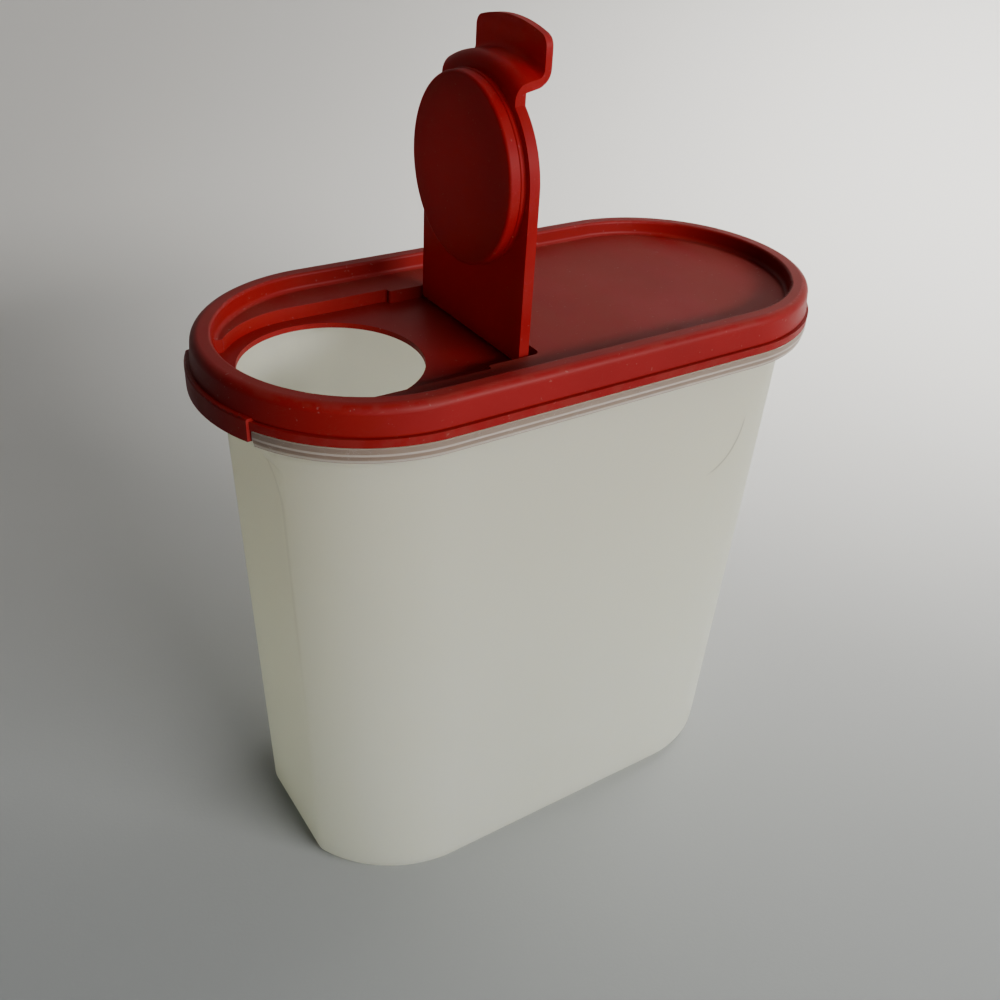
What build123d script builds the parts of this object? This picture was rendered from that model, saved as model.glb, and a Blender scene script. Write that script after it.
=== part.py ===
from build123d import *
import os
from math import atan, degrees, isclose

os.makedirs("parts", exist_ok=True)

# A tall oval keeper for dry food: a translucent container, a press-on lid, and a pour cap that
# swings in the lid on its own moulded pins. Millimetres, +Z up. The origin is the centre of the
# base where it stands, +X runs along the length away from the pour end, and +Y to the back.
# The cap is drawn as it stands open, upright on its hinge.

# Overall sizes
total_height = 174.0
lid_length = 190.0
lid_width = 89.4
fit_gap = 0.3
seat_gap = 0.3

# Container
wall = 1.6
end_step = 5.8
side_step = 2.4
end_draft = 6.0
side_draft = 1.05
base_round = 4.0
foot_width = 6.0
foot_recess = 0.8
grip_cut_base = 4.2
grip_cut_top = 4.8
grip_drop = 13.5
grip_shelf = 4.0
grip_round = 6.0
rim_wall = 1.8
rim_lead = 0.5
band_height = 4.2
band_overhang = 1.5
band_wall = 1.3
band_step = 2.0
band_draft = 12.0
flange_wall = 1.6

# Lid
rim_height = 10.2
rim_web = 1.5
skirt_wall = 1.4
skirt_flare = 1.0
skirt_round = 2.4
rim_inner_round = 0.8
inner_wall = 1.5
deck_drop = 4.7
deck_wall = 1.5
deck_round = 1.2
lip_height = 2.2
lip_reach = 1.5
groove_height = 0.5
groove_depth = 0.5
tab_lug_width = 41.6
tab_lug_reach = 2.1
tab_lug_wall = 1.7
tab_lug_height = 6.1
tab_lug_drop = 3.1
tab_lug_round = 0.6
tab_lug_gap = 0.5

# Pour cap and the pocket it lies in
cap_head_margin = 2.6
cap_thickness = 3.0
cap_set_forward = 0.4
tail_width = 51.2
cap_web = 1.6
cap_border = 2.2
plug_radius = 24.0
plug_depth = 4.65
plug_wall = 1.5
plug_round = 0.8
bead_radius = 0.5
bead_proud = 0.3
bead_drop = 1.2
thumb_root = 34.2
thumb_width = 31.4
thumb_rise = 9.0
thumb_wall = 2.0
thumb_length = 7.9
thumb_crown = 49.0
thumb_round = 3.0
thumb_bend = 1.6
root_round = 3.6
shelf_gap = 1.2
hinge_x = -16.7
barrel_width = 40.0
pin_radius = 1.0
pin_reach = 3.7
pin_fit = 0.07
pin_end_gap = 0.3
boss_wall = 1.4
pocket_depth = 3.8
pocket_gap = 3.2
pocket_wall = 1.5
pocket_back_gap = 3.0
pocket_round = 2.0
bay_length = 16.4
bay_gap = 1.3
bay_round = 0.8
notch_gap = 0.5
pour_gap = 0.3

# Heights above the table
skirt_bottom = total_height - rim_height
flange_top = skirt_bottom - seat_gap
band_bottom = flange_top - band_height
rim_top = total_height - rim_web - seat_gap
deck_top = total_height - deck_drop
deck_bottom = deck_top - deck_wall
pocket_floor = deck_top - pocket_depth
heel_radius = cap_thickness / 2 + cap_set_forward
hinge_z = pocket_floor + seat_gap + heel_radius

# Half widths of the ovals, all struck from the same two end centres
end_centre = (lid_length - lid_width) / 2
lid_half = lid_width / 2
rim_outer = lid_half - skirt_wall - fit_gap
rim_inner = rim_outer - rim_wall
seal_outer = rim_inner - fit_gap
seal_inner = seal_outer - inner_wall
band_half = lid_half + band_overhang
lip_half = lid_half + lip_reach
lug_half = lid_half + tab_lug_reach
lug_inner = lug_half - tab_lug_wall
skirt_draft = degrees(atan(skirt_flare / rim_height))

# The container's body, narrower than the lid and drawn in towards its base
mouth_length = lid_length - 2 * end_step
mouth_width = lid_width - 2 * side_step
base_length = mouth_length - 2 * end_draft
base_width = mouth_width - 2 * side_draft
grip_base = base_length / 2 - grip_cut_base
grip_top = mouth_length / 2 - grip_cut_top
grip_height = flange_top - grip_drop

# Reaches from the hinge line to the lid's end centre and to the middle of the cap's round head
rim_reach = end_centre + hinge_x
shelf_outer = seal_inner - shelf_gap
cap_radius = tail_width / 2
cap_reach = rim_reach + shelf_outer - cap_radius - cap_head_margin

# Places along the length
pour_x = hinge_x - cap_reach
cap_x = hinge_x - cap_set_forward
pocket_back = cap_x + cap_thickness / 2 + pocket_back_gap
pocket_half = cap_radius + pocket_gap
bay_half = cap_radius + bay_gap
bay_front = pocket_back - bay_length
pour_radius = plug_radius + bead_proud + pour_gap


def tub_form(inset, floor):
    """Returns the tapering oval body with its flat ends, drawn in by inset and standing on floor."""
    with BuildPart() as form:
        with BuildSketch(Plane.XY.offset(floor)):
            SlotCenterToCenter(base_length - base_width, base_width - 2 * inset)
        with BuildSketch(Plane.XY.offset(flange_top)):
            SlotCenterToCenter(mouth_length - mouth_width, mouth_width - 2 * inset)
        loft(ruled=True)
        with BuildSketch(Plane.XZ):
            with BuildLine():
                Polyline(
                    (grip_base - inset, 0),
                    (grip_top - inset, grip_height),
                    (grip_top + grip_shelf - inset, grip_height + grip_shelf),
                    (lid_length, grip_height + grip_shelf),
                    (lid_length, 0),
                    close=True,
                )
            make_face()
            mirror(about=Plane.YZ)
        extrude(amount=base_width, both=True, mode=Mode.SUBTRACT)
        ends = form.faces().filter_by(GeomType.PLANE).sort_by(lambda f: abs(f.normal_at().X))[-2:]
        sides = [edge for end in ends for edge in end.edges().sort_by(SortBy.LENGTH)[-2:]]
        fillet(sides, radius=grip_round - inset)
        fillet(form.faces().sort_by(Axis.Z)[0].edges(), radius=base_round - inset)
    return form.part


outside = tub_form(0, 0)
inside = tub_form(wall, wall)

# The container is one thin-walled moulding: flat grips on the ends, an upright sealing rim,
# and a flange under it with a hanging band that the lid's lip meets, open where its lug hangs
with BuildPart() as container:
    add(outside)
    with BuildSketch(Plane.XY.offset(flange_top)):
        SlotCenterToCenter(2 * end_centre, 2 * band_half)
    extrude(amount=-flange_wall)
    with BuildSketch(Plane.XY.offset(flange_top)):
        SlotCenterToCenter(2 * end_centre, 2 * band_half)
        SlotCenterToCenter(2 * end_centre, 2 * (band_half - band_wall), mode=Mode.SUBTRACT)
    extrude(amount=-band_step)
    with BuildSketch(Plane.XY.offset(flange_top - band_step)):
        SlotCenterToCenter(2 * end_centre, 2 * band_half)
    extrude(amount=band_step - band_height, taper=band_draft)
    with BuildSketch(Plane.XY.offset(band_bottom)):
        SlotCenterToCenter(2 * end_centre, 2 * (band_half - band_wall))
    extrude(amount=band_height - flange_wall, mode=Mode.SUBTRACT)
    with BuildSketch(Plane.XY.offset(band_bottom)):
        with Locations((-end_centre - lug_half, 0)):
            Rectangle(lug_half, tab_lug_width + 2 * tab_lug_gap)
        with Locations((-end_centre, 0)):
            Circle(lug_inner - fit_gap, mode=Mode.SUBTRACT)
    extrude(amount=band_height, mode=Mode.SUBTRACT)
    add(outside)
    with BuildSketch(Plane.XY.offset(flange_top)):
        SlotCenterToCenter(2 * end_centre, 2 * rim_outer)
    extrude(amount=rim_top - flange_top)
    chamfer(container.faces().sort_by(Axis.Z)[-1].edges(), length=rim_lead)
    with BuildSketch(Plane.XY.offset(flange_top)):
        SlotCenterToCenter(2 * end_centre, 2 * rim_inner)
    extrude(amount=rim_top - flange_top, mode=Mode.SUBTRACT)
    add(inside, mode=Mode.SUBTRACT)
    with BuildSketch(Plane.XY):
        SlotCenterToCenter(base_length - base_width, base_width - 2 * foot_width)
        Rectangle(2 * (grip_base - foot_width), base_width, mode=Mode.INTERSECT)
    extrude(amount=foot_recess, mode=Mode.SUBTRACT)
container.part.label = "container"
export_step(container.part, "parts/container.step")

# The lid is one moulding: an inverted channel over the container's rim, a sunk deck, a deeper
# pocket for the cap with the pour hole in its floor, and a pull lug under the pour end
with BuildPart() as lid:
    with BuildSketch(Plane.XY.offset(skirt_bottom)):
        SlotCenterToCenter(2 * end_centre, 2 * (lid_half + skirt_flare))
    extrude(amount=rim_height, taper=skirt_draft)
    fillet(lid.faces().sort_by(Axis.Z)[-1].edges(), radius=skirt_round)
    with BuildSketch(Plane.XY.offset(skirt_bottom)):
        SlotCenterToCenter(2 * end_centre, 2 * lip_half)
    extrude(amount=lip_height)

    # Pull lug: hangs over the container's band, with square ends
    with BuildSketch(Plane.XY.offset(skirt_bottom - tab_lug_drop)):
        with Locations((-end_centre, 0)):
            Circle(lug_half)
            Circle(lug_inner, mode=Mode.SUBTRACT)
        with Locations((-end_centre - lug_half, 0)):
            Rectangle(lug_half, tab_lug_width, mode=Mode.INTERSECT)
    extrude(amount=tab_lug_drop)
    with BuildSketch(Plane.XY.offset(skirt_bottom)):
        with Locations((-end_centre, 0)):
            Circle(lug_half)
        with Locations((-end_centre - lug_half, 0)):
            Rectangle(lug_half, tab_lug_width, mode=Mode.INTERSECT)
    extrude(amount=tab_lug_height - tab_lug_drop)
    lug_edges = lid.edges().filter_by(GeomType.CIRCLE).filter_by(lambda e: isclose(e.radius, lug_half))
    fillet(lug_edges.sort_by(Axis.Z)[-1], radius=tab_lug_round)

    # Deck recess, then the channel and the hollow below, which leave the sealing wall between
    with BuildSketch(Plane.XY.offset(total_height)):
        SlotCenterToCenter(2 * end_centre, 2 * seal_inner)
    extrude(amount=-deck_drop, mode=Mode.SUBTRACT)
    fillet(lid.edges().filter_by_position(Axis.Z, deck_top, deck_top), radius=deck_round)
    fillet(lid.faces().sort_by(Axis.Z)[-1].inner_wires()[0].edges(), radius=rim_inner_round)
    with BuildSketch(Plane.XY.offset(skirt_bottom)):
        SlotCenterToCenter(2 * end_centre, 2 * (lid_half - skirt_wall))
        SlotCenterToCenter(2 * end_centre, 2 * seal_outer, mode=Mode.SUBTRACT)
    extrude(amount=rim_height - rim_web, mode=Mode.SUBTRACT)
    with BuildSketch(Plane.XY.offset(skirt_bottom)):
        SlotCenterToCenter(2 * end_centre, 2 * seal_inner)
    extrude(amount=deck_bottom - skirt_bottom, mode=Mode.SUBTRACT)

    # Groove over the lip
    with BuildSketch(Plane.XY.offset(skirt_bottom + lip_height)):
        SlotCenterToCenter(2 * end_centre, 2 * (lid_half + skirt_flare))
        SlotCenterToCenter(2 * end_centre, 2 * (lip_half - skirt_wall / 2 - groove_depth), mode=Mode.SUBTRACT)
        with Locations((-end_centre - lug_half, 0)):
            Rectangle(2 * lug_half, tab_lug_width, mode=Mode.SUBTRACT)
    extrude(amount=groove_height, mode=Mode.SUBTRACT)

    # Pocket tray under the deck, narrower around the hinge, with the bosses for its pins
    with BuildSketch(Plane.XY.offset(pocket_floor - pocket_wall)):
        with Locations((pour_x, 0)):
            Circle(pocket_half + pocket_wall)
        with Locations(((pour_x + bay_front + pocket_wall) / 2, 0)):
            Rectangle(bay_front + pocket_wall - pour_x, 2 * (pocket_half + pocket_wall))
        with Locations(((bay_front + pocket_back + pocket_wall) / 2, 0)):
            Rectangle(bay_length + pocket_wall, 2 * (bay_half + pocket_wall))
        with Locations((pour_x - lid_half / 2, 0)):
            Rectangle(lid_half, thumb_root + 2 * (notch_gap + pocket_wall))
        with Locations((hinge_x, 0)):
            Rectangle(
                2 * (pin_radius + boss_wall),
                tail_width + 2 * (pin_reach + pin_end_gap + boss_wall),
            )
        SlotCenterToCenter(2 * end_centre, 2 * seal_inner, mode=Mode.INTERSECT)
    extrude(amount=deck_bottom - pocket_floor + pocket_wall)
    with BuildSketch(Plane.XY.offset(pocket_floor)):
        with Locations((pour_x, 0)):
            Circle(pocket_half)
        with Locations(((pour_x + bay_front) / 2, 0)):
            Rectangle(bay_front - pour_x, 2 * pocket_half)
        with Locations(((bay_front + pocket_back) / 2, 0)):
            Rectangle(bay_length, 2 * bay_half)
        with Locations((pour_x - lid_half / 2, 0)):
            Rectangle(lid_half, thumb_root + 2 * notch_gap)
        SlotCenterToCenter(2 * end_centre, 2 * seal_inner, mode=Mode.INTERSECT)
        fillet(vertices().group_by(Axis.X)[-2], radius=bay_round)
        fillet(vertices().group_by(Axis.X)[-1], radius=pocket_round)
    extrude(amount=pocket_depth + deck_round, mode=Mode.SUBTRACT)
    with BuildSketch(Plane.XY.offset(pocket_floor)):
        with Locations((pour_x, 0)):
            Circle(pour_radius)
    extrude(amount=-pocket_wall, mode=Mode.SUBTRACT)
    with BuildSketch(Plane.XZ):
        with Locations((hinge_x, hinge_z)):
            Circle(pin_radius + pin_fit)
    extrude(amount=tail_width / 2 + pin_reach + pin_end_gap, both=True, mode=Mode.SUBTRACT)
lid.part.label = "lid"
export_step(lid.part, "parts/lid.step")

# The pour cap is one moulding: a bordered plate, a plug cup that closes the pour hole, a thumb
# tab cranked up over the lid's rim, and a round hinge heel with a pin at each end
cap_face = Plane(origin=(cap_x - cap_thickness / 2, 0, hinge_z), x_dir=(0, 1, 0), z_dir=(1, 0, 0))
thumb_top = rim_reach + shelf_outer + thumb_length

with BuildPart() as pour_cap:
    # Hinge heel: a round barrel that runs up into the plate and is cut flush with it at its ends
    with BuildSketch(Plane.XZ):
        with Locations((hinge_x, hinge_z)):
            Circle(heel_radius)
        with Locations((cap_x, hinge_z + heel_radius)):
            Rectangle(cap_thickness, 2 * heel_radius)
    extrude(amount=tail_width / 2, both=True)
    with BuildSketch(Plane.YZ.offset(cap_x + cap_thickness / 2)):
        with Locations((0, hinge_z)):
            Rectangle(tail_width, 2 * heel_radius)
            Rectangle(barrel_width, 2 * heel_radius, mode=Mode.SUBTRACT)
    extrude(amount=heel_radius, mode=Mode.SUBTRACT)

    # Plate, with the root of the thumb tab at its top
    with BuildSketch(cap_face):
        with Locations((0, cap_reach)):
            Circle(cap_radius)
        with Locations((0, rim_reach + shelf_outer / 2)):
            Rectangle(thumb_root, shelf_outer)
        with Locations((0, rim_reach)):
            Circle(shelf_outer, mode=Mode.INTERSECT)
        with Locations((0, (cap_reach + heel_radius) / 2)):
            Rectangle(tail_width, cap_reach - heel_radius)
    extrude(amount=cap_thickness)

    # Recess in the outer face, inside the border
    with BuildSketch(cap_face.offset(cap_web)):
        with Locations((0, cap_reach)):
            Circle(cap_radius - cap_border)
        with Locations((0, cap_reach / 2 + cap_border)):
            Rectangle(tail_width - 2 * cap_border, cap_reach - cap_thickness)
    extrude(amount=cap_thickness - cap_web, mode=Mode.SUBTRACT)

    # Plug cup, dished from the outer face, with its seal bead
    with BuildSketch(cap_face):
        with Locations((0, cap_reach)):
            Circle(plug_radius)
    extrude(amount=-plug_depth)
    fillet(pour_cap.faces().sort_by(Axis.X)[0].edges(), radius=plug_round)
    with BuildSketch(Plane.XZ):
        with Locations((
            cap_face.origin.X - bead_drop,
            hinge_z + cap_reach + plug_radius + bead_proud - bead_radius,
        )):
            Circle(bead_radius)
    revolve(axis=Axis((0, 0, hinge_z + cap_reach), (1, 0, 0)), revolution_arc=360)
    with BuildSketch(cap_face.offset(cap_web - plug_depth)):
        with Locations((0, cap_reach)):
            Circle(plug_radius - plug_wall)
    extrude(amount=plug_depth, mode=Mode.SUBTRACT)

    # Thumb tab: a tapering shelf that follows the rim's inner wall, then a panel over the rim
    with BuildSketch(cap_face):
        with Locations((0, rim_reach)):
            Circle(shelf_outer)
            Circle(shelf_outer - thumb_wall, mode=Mode.SUBTRACT)
        with Locations((0, rim_reach + shelf_outer)):
            Rectangle(thumb_root, shelf_outer, mode=Mode.INTERSECT)
    extrude(amount=thumb_rise + thumb_wall)
    with BuildSketch(cap_face.offset(thumb_rise)):
        with Locations((0, thumb_top - thumb_crown)):
            Circle(thumb_crown)
        with Locations((0, rim_reach + shelf_outer)):
            Rectangle(thumb_width, shelf_outer, mode=Mode.INTERSECT)
        with Locations((0, rim_reach)):
            Circle(shelf_outer - thumb_wall, mode=Mode.SUBTRACT)
        fillet(vertices().group_by(Axis.Y)[-1], radius=thumb_round)
    extrude(amount=thumb_wall)
    with BuildSketch(Plane.XY.offset(hinge_z + cap_reach)):
        with BuildLine():
            Polyline(
                (cap_x + cap_thickness / 2, thumb_root / 2),
                (cap_face.origin.X + thumb_rise, thumb_width / 2),
                (hinge_x + shelf_outer, thumb_width / 2),
                (hinge_x + shelf_outer, tail_width / 2),
                (cap_x + cap_thickness / 2, tail_width / 2),
                close=True,
            )
        make_face()
        mirror(about=Plane.XZ)
    extrude(amount=thumb_top, mode=Mode.SUBTRACT)
    arcs = pour_cap.edges().filter_by(GeomType.CIRCLE)
    outer_arcs = arcs.filter_by(lambda e: isclose(e.radius, shelf_outer)).sort_by(Axis.X)
    inner_arcs = arcs.filter_by(lambda e: isclose(e.radius, shelf_outer - thumb_wall)).sort_by(Axis.X)
    fillet(outer_arcs[0], radius=root_round)
    fillet(outer_arcs[-1], radius=thumb_bend)
    fillet(inner_arcs[-1], radius=thumb_bend + thumb_wall)

    # Hinge pins
    with BuildSketch(Plane.XZ):
        with Locations((hinge_x, hinge_z)):
            Circle(pin_radius)
    extrude(amount=tail_width / 2 + pin_reach, both=True)
pour_cap.part.label = "pour_cap"
export_step(pour_cap.part, "parts/pour_cap.step")
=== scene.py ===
import math

import bpy
from mathutils import Matrix, Vector

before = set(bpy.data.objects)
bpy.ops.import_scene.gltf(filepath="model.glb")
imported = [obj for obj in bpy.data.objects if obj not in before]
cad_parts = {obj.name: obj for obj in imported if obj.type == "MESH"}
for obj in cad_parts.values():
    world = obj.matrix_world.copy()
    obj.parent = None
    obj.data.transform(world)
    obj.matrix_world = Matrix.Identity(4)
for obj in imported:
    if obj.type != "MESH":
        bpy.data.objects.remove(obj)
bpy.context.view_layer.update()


# Container: the tall oval tub, injection moulded in natural polypropylene. It is milky and lets
# light through its thin walls, with the fine satin of the mould outside and years of small
# scuffs from shelves and hands.
class Wire:
    """A socket of a material's node tree. Arithmetic on it adds Math nodes."""

    def __init__(self, tree, socket=None):
        self.tree = tree
        self.socket = socket

    def node(self, kind, settings=None, sockets=None, out=0):
        """Adds a node, sets its settings, then its sockets from values or wires."""
        made = self.tree.nodes.new(kind)
        for key, value in (settings or {}).items():
            setattr(made, key, value)
        for key, value in (sockets or {}).items():
            if isinstance(value, Wire):
                self.tree.links.new(value.socket, made.inputs[key])
            else:
                made.inputs[key].default_value = value
        return Wire(self.tree, made.outputs[out] if made.outputs else None)

    def maths(self, operation, *values):
        return self.node("ShaderNodeMath", {"operation": operation}, dict(enumerate(values)))

    def __add__(self, other):
        return self.maths("ADD", self, other)

    def __radd__(self, other):
        return self.maths("ADD", other, self)

    def __sub__(self, other):
        return self.maths("SUBTRACT", self, other)

    def __rsub__(self, other):
        return self.maths("SUBTRACT", other, self)

    def __mul__(self, other):
        return self.maths("MULTIPLY", self, other)

    def __rmul__(self, other):
        return self.maths("MULTIPLY", other, self)

    def __abs__(self):
        return self.maths("ABSOLUTE", self)

    def above(self, level):
        """How far this is above level, and 0 below it."""
        return self.maths("MAXIMUM", self - level, 0.0)

    def fade(self, start, end):
        """0 below start and 1 above end, or the other way round where end is the lower."""
        low, high = sorted((start, end))
        sides = (0.0, 1.0) if end > start else (1.0, 0.0)
        return self.node(
            "ShaderNodeMapRange",
            {"interpolation_type": "SMOOTHSTEP", "clamp": True},
            {"Value": self, "From Min": low, "From Max": high, "To Min": sides[0], "To Max": sides[1]},
        )

    def blend(self, first, second):
        """The first colour where this is 0, the second where it is 1."""
        colour_a, colour_b, colour_out = 6, 7, 2
        return self.node(
            "ShaderNodeMix",
            {"data_type": "RGBA"},
            {"Factor": self, colour_a: first, colour_b: second},
            out=colour_out,
        )


def new_finish(name):
    """A material with an empty node tree, and its Object coordinates as place, x, y and z."""
    material = bpy.data.materials.new(name)
    material.use_nodes = True
    material.node_tree.nodes.clear()
    object_out = 3
    place = Wire(material.node_tree).node("ShaderNodeTexCoord", out=object_out)
    axes = [place.node("ShaderNodeSeparateXYZ", sockets={"Vector": place}, out=i) for i in range(3)]
    return material, place, axes


def noise(place, per_metre, detail=3.0, roughness=0.55, stretch=None):
    """Noise from 0 to 1 with its middle at 0.5, drawn out along an axis by stretch."""
    if stretch:
        place = place.node("ShaderNodeMapping", sockets={"Vector": place, "Scale": stretch})
    return place.node(
        "ShaderNodeTexNoise",
        sockets={"Vector": place, "Scale": per_metre, "Detail": detail, "Roughness": roughness},
    )


def relief(height, depth, under=None):
    """Bump of a height from 0 to 1, depth metres deep, over another one."""
    sockets = {"Height": height, "Distance": depth, "Strength": 1.0}
    if under:
        sockets["Normal"] = under
    return height.node("ShaderNodeBump", sockets=sockets)


def scratches(place, turn, per_metre, width):
    """Fine broken hairlines that run along one direction, 1 on a line and 0 beside it."""
    turned = place.node("ShaderNodeMapping", sockets={"Vector": place, "Rotation": turn})
    lines = noise(turned, per_metre, detail=2.0, roughness=0.5, stretch=(1.0, 0.04, 1.0))
    broken = noise(place, per_metre * 0.22, detail=2.0).fade(0.52, 0.6)
    return abs(lines - 0.5).fade(width, 0.0) * broken


def length_of(first, second):
    """Length of a step that goes first one way and second across it."""
    return first.maths("SQRT", first * first + second * second)


def oval_reach(x, y):
    """Distance from the line between the two end centres that every oval is struck from."""
    end_centre = 0.0503
    return length_of(abs(x).above(end_centre), y)


def hanging_band(x, y, z):
    """1 on the band that hangs from the flange, 0 elsewhere."""
    lower_edge, upper_edge, outer_side = (0.1590, 0.1594), (0.1637, 0.1634), (0.0438, 0.0444)
    return z.fade(*lower_edge) * z.fade(*upper_edge) * oval_reach(x, y).fade(*outer_side)


def grip_edge_shade(x, y, z):
    """Line of painted shade round the flat grip on each end, whose top corners are rounded. It fades
    lower down.
    """
    half_width, top, corner = 0.0186, 0.1505, 0.013
    border = length_of(abs(y).above(half_width - corner), z.above(top - corner)) - corner
    on_the_ends = abs(x).fade(0.076, 0.078)
    return abs(border).fade(0.001, 0.0001) * on_the_ends * z.fade(0.04, 0.13)


def far_grip_arc_shade(x, y, z):
    """Thin bent line of painted shade on the front near the far end, along part of a circle: the
    shading edge of the far grip's rounded top.
    """
    centre_x, centre_z, radius = 0.036, 0.141, 0.0187
    ring = abs(length_of(x - centre_x, z - centre_z) - radius).fade(0.0005, 0.0002)
    on_the_front = y.fade(-0.03, -0.035)
    return ring * z.fade(centre_z, 0.137) * x.fade(0.041, 0.046) * on_the_front


def milky_polypropylene():
    """Natural polypropylene with scuffs, painted warm light towards the top, and painted shade on the
    band and at the grips.
    """
    material, place, (x, y, z) = new_finish("milky_polypropylene")
    clouds = noise(place, 22.0)
    streaks = noise(place, 60.0, roughness=0.5, stretch=(1.0, 1.0, 0.12))
    grain = noise(place, 2600.0, detail=2.0)
    waves = noise(place, 34.0, detail=1.0)
    hairs = scratches(place, turn=(0.3, 0.5, 0.2), per_metre=420.0, width=0.006)
    rubbed = noise(place, 90.0, detail=4.0, roughness=0.7).fade(0.6, 0.75) * z.fade(0.05, 0.0)
    body = (clouds * 0.6 + streaks * 0.4).fade(0.3, 0.7)
    colour = body.blend((0.9, 0.92, 0.83, 1.0), (0.95, 0.965, 0.88, 1.0))
    # Painted light: the wall grows warmer and creamier towards the top, where light comes tinted
    # through the red lid.
    colour = (z.fade(0.03, 0.15) * 0.8).blend(colour, (0.95, 0.92, 0.74, 1.0))
    band = hanging_band(x, y, z)
    low_line, high_line = 0.1599, 0.1617
    lines = abs(z - low_line).fade(0.0005, 0.0002) + abs(z - high_line).fade(0.0004, 0.0002)
    # The band is painted darker and pinker: painted shade under the lid's lip and painted red light
    # from the lid behind it.
    colour = (band * 0.9).blend(colour, (0.19, 0.115, 0.09, 1.0))
    colour = (band * lines * 0.35).blend(colour, (0.8, 0.75, 0.7, 1.0))
    # Thin dark lines of painted shade at the grips' edges, mixed into the colour below.
    grip_shade_lines = grip_edge_shade(x, y, z) * 0.4 + far_grip_arc_shade(x, y, z) * 0.9
    colour = grip_shade_lines.blend(colour, (0.17, 0.16, 0.13, 1.0))
    colour = (hairs * 0.25 + rubbed * 0.35).blend(colour, (0.93, 0.93, 0.9, 1.0))
    roughness = 0.42 + clouds * 0.1 + hairs * 0.15 + rubbed * 0.2
    normal = relief(waves, 0.0006)
    normal = relief(grain, 0.000012, normal)
    normal = relief(1.0 - hairs, 0.00001, normal)
    skin = place.node(
        "ShaderNodeBsdfPrincipled",
        {"subsurface_method": "RANDOM_WALK"},
        {
            "Base Color": colour,
            "Roughness": roughness,
            "Normal": normal,
            "IOR": 1.49,
            "Subsurface Weight": 1.0,
            "Subsurface Radius": (1.0, 0.95, 0.8),
            "Subsurface Scale": 0.004,
        },
    )
    glow = place.node(
        "ShaderNodeBsdfTranslucent", sockets={"Color": (0.96, 0.97, 0.92, 1.0), "Normal": normal}
    )
    clear = place.node("ShaderNodeBsdfTransparent", sockets={"Color": (0.97, 0.97, 0.9, 1.0)})
    milky = place.node("ShaderNodeMixShader", sockets={0: 0.65 - band * 0.6, 1: skin, 2: glow})
    thin = place.node("ShaderNodeMixShader", sockets={0: 0.1 - band * 0.06, 1: milky, 2: clear})
    place.node("ShaderNodeOutputMaterial", sockets={"Surface": thin})
    return material


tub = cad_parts["container"]
tub.data.materials.clear()
tub.data.materials.append(milky_polypropylene())


# Lid: one press-on moulding in red polyethylene. Its deck is dulled by washing and by what has
# been stacked on it, and the rim's corners and the lip's edge are rubbed paler.
def red_moulding(name, deep, dulled, edges, shine, through):
    """Red plastic with the worn places that edges gives; through is the share of light let by."""
    material, place, axes = new_finish(name)
    clouds = noise(place, 26.0)
    wiped = noise(place, 70.0, detail=4.0, roughness=0.6, stretch=(1.0, 0.35, 1.0))
    grain = noise(place, 2200.0, detail=2.0)
    waves = noise(place, 45.0, detail=1.0)
    hairs = scratches(place, turn=(0.0, 0.1, 0.7), per_metre=380.0, width=0.007)
    cross = scratches(place, turn=(0.2, 0.0, -0.5), per_metre=300.0, width=0.005)
    specks = noise(place, 900.0, detail=1.0).fade(0.72, 0.78)
    dull, rubbed = edges(*axes)
    dull = dull * wiped.fade(0.3, 0.65)
    rubbed = rubbed * noise(place, 240.0, 3.0).fade(0.4, 0.62)
    lines = hairs + cross
    darker = tuple(0.86 * c for c in deep[:3]) + (1.0,)
    colour = clouds.fade(0.3, 0.7).blend(deep, darker)
    colour = (dull * 0.55 + rubbed * 0.4 + lines * 0.25).blend(colour, dulled)
    colour = (specks * 0.12).blend(colour, (0.5, 0.4, 0.34, 1.0))
    roughness = 0.42 + clouds * 0.08 + dull * 0.1 + rubbed * 0.1 + lines * 0.1
    normal = relief(waves, 0.0003)
    normal = relief(grain, 0.00001, normal)
    normal = relief(1.0 - lines, 0.000012, normal)
    skin = place.node(
        "ShaderNodeBsdfPrincipled",
        sockets={
            "Base Color": colour,
            "Roughness": roughness,
            "Normal": normal,
            "Specular IOR Level": shine,
        },
    )
    glow = place.node(
        "ShaderNodeBsdfTranslucent", sockets={"Color": (0.9, 0.015, 0.02, 1.0), "Normal": normal}
    )
    red = place.node("ShaderNodeMixShader", sockets={0: through, 1: skin, 2: glow})
    place.node("ShaderNodeOutputMaterial", sockets={"Surface": red})
    return material


def lid_edges(x, y, z):
    """Where the deck is dulled, and where the lid's corners are rubbed."""
    reach = oval_reach(x, y)
    deck = reach.fade(0.0395, 0.038) * z.fade(0.1690, 0.1693)
    crown = reach.fade(0.0425, 0.0445) * z.fade(0.1722, 0.1738)
    lip = reach.fade(0.0455, 0.0461)
    rim_top = z.fade(0.1735, 0.174)
    return deck + rim_top * 0.6, crown + lip * 0.7


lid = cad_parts["lid"]
lid.data.materials.clear()
lid.data.materials.append(
    red_moulding(
        "red_lid",
        deep=(0.245, 0.007, 0.008, 1.0),
        dulled=(0.22, 0.036, 0.027, 1.0),
        edges=lid_edges,
        shine=0.15,
        through=0.06,
    )
)


# Pour cap: the flip cap, moulded in the same red. It snaps into the lid on its own two pins, its
# plug cup closes the pour hole, and its thumb tab is handled most, so it is the most rubbed.
def cap_edges(x, y, z):
    """Where the cap is dulled by thumbs, and where its tab's edge is rubbed."""
    tab_root, tab_top = 0.236, 0.247
    tab = z.fade(tab_root, tab_root + 0.008)
    return tab * 0.9 + 0.15, z.fade(tab_top - 0.0015, tab_top)


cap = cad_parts["pour_cap"]
cap.data.materials.clear()
cap.data.materials.append(
    red_moulding(
        "red_cap",
        deep=(0.32, 0.007, 0.01, 1.0),
        dulled=(0.40, 0.075, 0.07, 1.0),
        edges=cap_edges,
        shine=0.1,
        through=0.26,
    )
)


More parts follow.
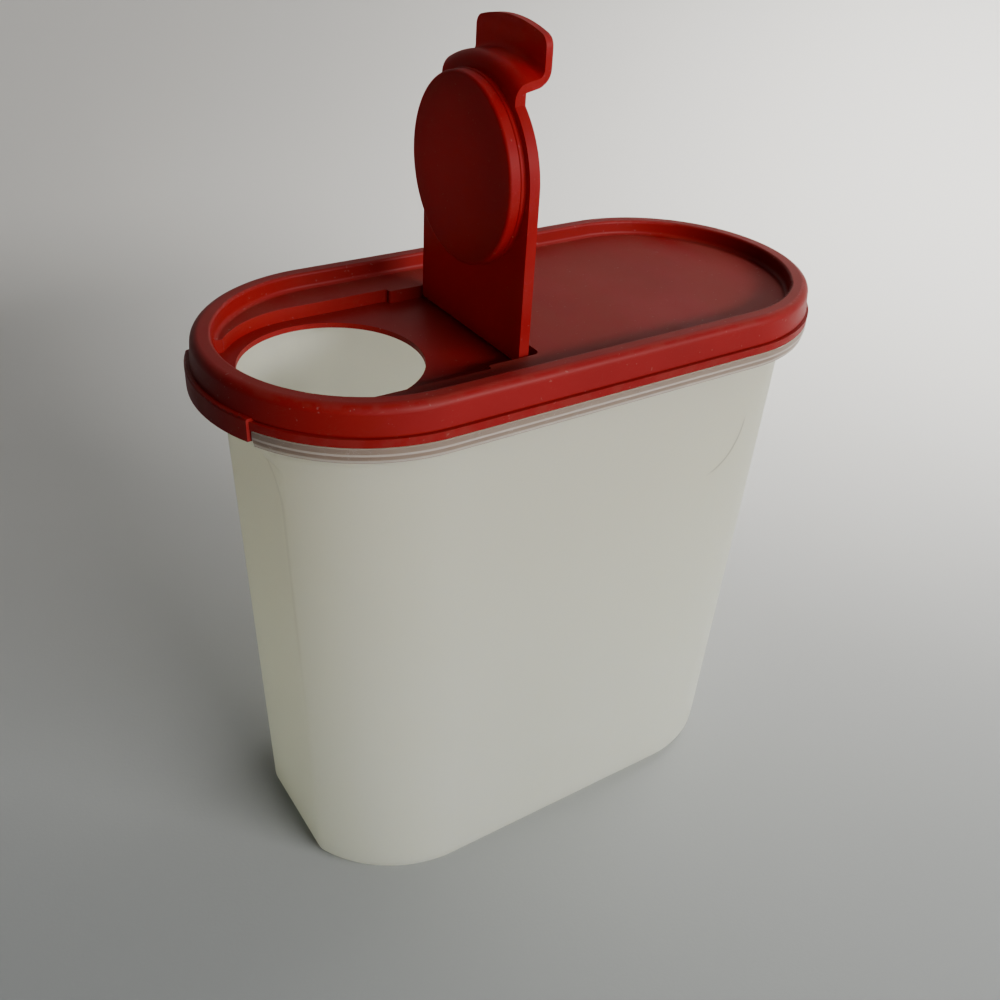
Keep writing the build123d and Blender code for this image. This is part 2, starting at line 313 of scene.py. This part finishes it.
# Table and backdrop: one pale sheet that lies under the object and rises behind it in a wide
# curve, as paper does on a table against a wall.
def paper_sweep(half_width, near, flat, radius, top):
    """A sheet along +Y that rises in a quarter circle after flat, to the height top."""
    steps = 24
    profile = [(-near, 0.0), (flat, 0.0)]
    for i in range(1, steps + 1):
        angle = math.pi / 2 * i / steps
        profile.append((flat + radius * math.sin(angle), radius - radius * math.cos(angle)))
    profile.append((flat + radius, top))
    points = [(side * half_width, y, z) for y, z in profile for side in (-1, 1)]
    faces = [(2 * i, 2 * i + 1, 2 * i + 3, 2 * i + 2) for i in range(len(profile) - 1)]
    mesh = bpy.data.meshes.new("paper_sweep")
    mesh.from_pydata(points, [], faces)
    mesh.shade_smooth()
    return bpy.data.objects.new("paper_sweep", mesh)


def paper_with_painted_light():
    """Pale paper with a faint mottle, painted dark grey on the table and whiter up the curve: painted
    shade near, painted light far.
    """
    material, place, (_, y, _) = new_finish("paper_with_painted_light")
    mottle = noise(place, 3.0)
    fibre = noise(place, 900.0)
    painted_light_and_mottle = y + mottle * 0.08
    # Painted shade and light: dark grey on the near table, whiter up the curve, on paper of one pale
    # tone.
    colour = painted_light_and_mottle.fade(-0.1, 0.5).blend((0.325, 0.342, 0.344, 1.0), (0.92, 0.9, 0.86, 1.0))
    skin = place.node(
        "ShaderNodeBsdfPrincipled",
        sockets={
            "Base Color": colour,
            "Roughness": 0.75 + fibre * 0.1,
            "Normal": relief(fibre, 0.00004),
        },
    )
    place.node("ShaderNodeOutputMaterial", sockets={"Surface": skin})
    return material


sweep = paper_sweep(half_width=4.0, near=4.0, flat=0.1, radius=0.7, top=2.0)
sweep.data.materials.append(paper_with_painted_light())
bpy.context.scene.collection.objects.link(sweep)
camera_turn = 0.607
sweep.rotation_euler = (0.0, 0.0, -camera_turn)


# Light: a wide, low window behind the camera, which throws the long shadow to the back, and a
# weak lamp above that lifts the paper at the right. The room is brighter on the right as well.
def lit_panel(name, place, target, width, height, power, colour, spread=180.0):
    """A lit panel at place that faces target. Its power is in watts and its spread in degrees."""
    panel = bpy.data.lights.new(name, "AREA")
    panel.shape = "RECTANGLE"
    panel.spread = math.radians(spread)
    panel.size, panel.size_y = width, height
    panel.energy = power
    panel.color = colour
    lamp = bpy.data.objects.new(name, panel)
    lamp.location = place
    lamp.rotation_euler = (Vector(target) - Vector(place)).to_track_quat("-Z", "Y").to_euler()
    bpy.context.scene.collection.objects.link(lamp)


lit_panel(
    "window",
    place=(0.36, -1.10, 0.58),
    target=(0.12, 0.12, 0.08),
    width=0.9,
    height=0.18,
    power=19.5,
    colour=(1.0, 0.98, 0.95),
)
lit_panel(
    "ceiling",
    place=(0.70, 0.15, 0.85),
    target=(0.50, 0.15, 0.05),
    width=0.4,
    height=0.4,
    power=2.0,
    colour=(1.0, 0.99, 0.97),
    spread=60.0,
)

room = bpy.data.worlds.new("room")
bpy.context.scene.world = room
room.use_nodes = True
sky = Wire(room.node_tree).node("ShaderNodeTexCoord")
across, along = [sky.node("ShaderNodeSeparateXYZ", sockets={"Vector": sky}, out=i) for i in range(2)]
lit_side = (across * 0.82 - along * 0.57).fade(-0.6, 0.5)
air = lit_side.blend((0.02, 0.021, 0.022, 1.0), (0.18, 0.187, 0.197, 1.0))
room.node_tree.links.new(air.socket, room.node_tree.nodes["Background"].inputs["Color"])


# Camera: held by hand above the pour end's left, turned and tipped as the photograph shows. Its
# place, its angles and its lens are the ones that fit the outlines of the lid and the tub.
standpoint = (-0.16716, -0.23483, 0.29278)
yaw, pitch, roll = 0.6073, 0.5827, -0.0623
forward = Vector((math.sin(yaw) * math.cos(pitch), math.cos(yaw) * math.cos(pitch), -math.sin(pitch)))
level = Vector((math.cos(yaw), -math.sin(yaw), 0.0))
below = forward.cross(level)
side = math.cos(roll) * level + math.sin(roll) * below
foot = -math.sin(roll) * level + math.cos(roll) * below
lens = bpy.data.cameras.new("camera")
lens.sensor_width = 36.0
lens.lens = 38.752
lens.clip_start, lens.clip_end = 0.01, 20.0
turned = Matrix((side, -foot, -forward)).transposed().to_4x4()
camera = bpy.data.objects.new("camera", lens)
camera.matrix_world = Matrix.Translation(standpoint) @ turned
bpy.context.scene.collection.objects.link(camera)
bpy.context.scene.camera = camera
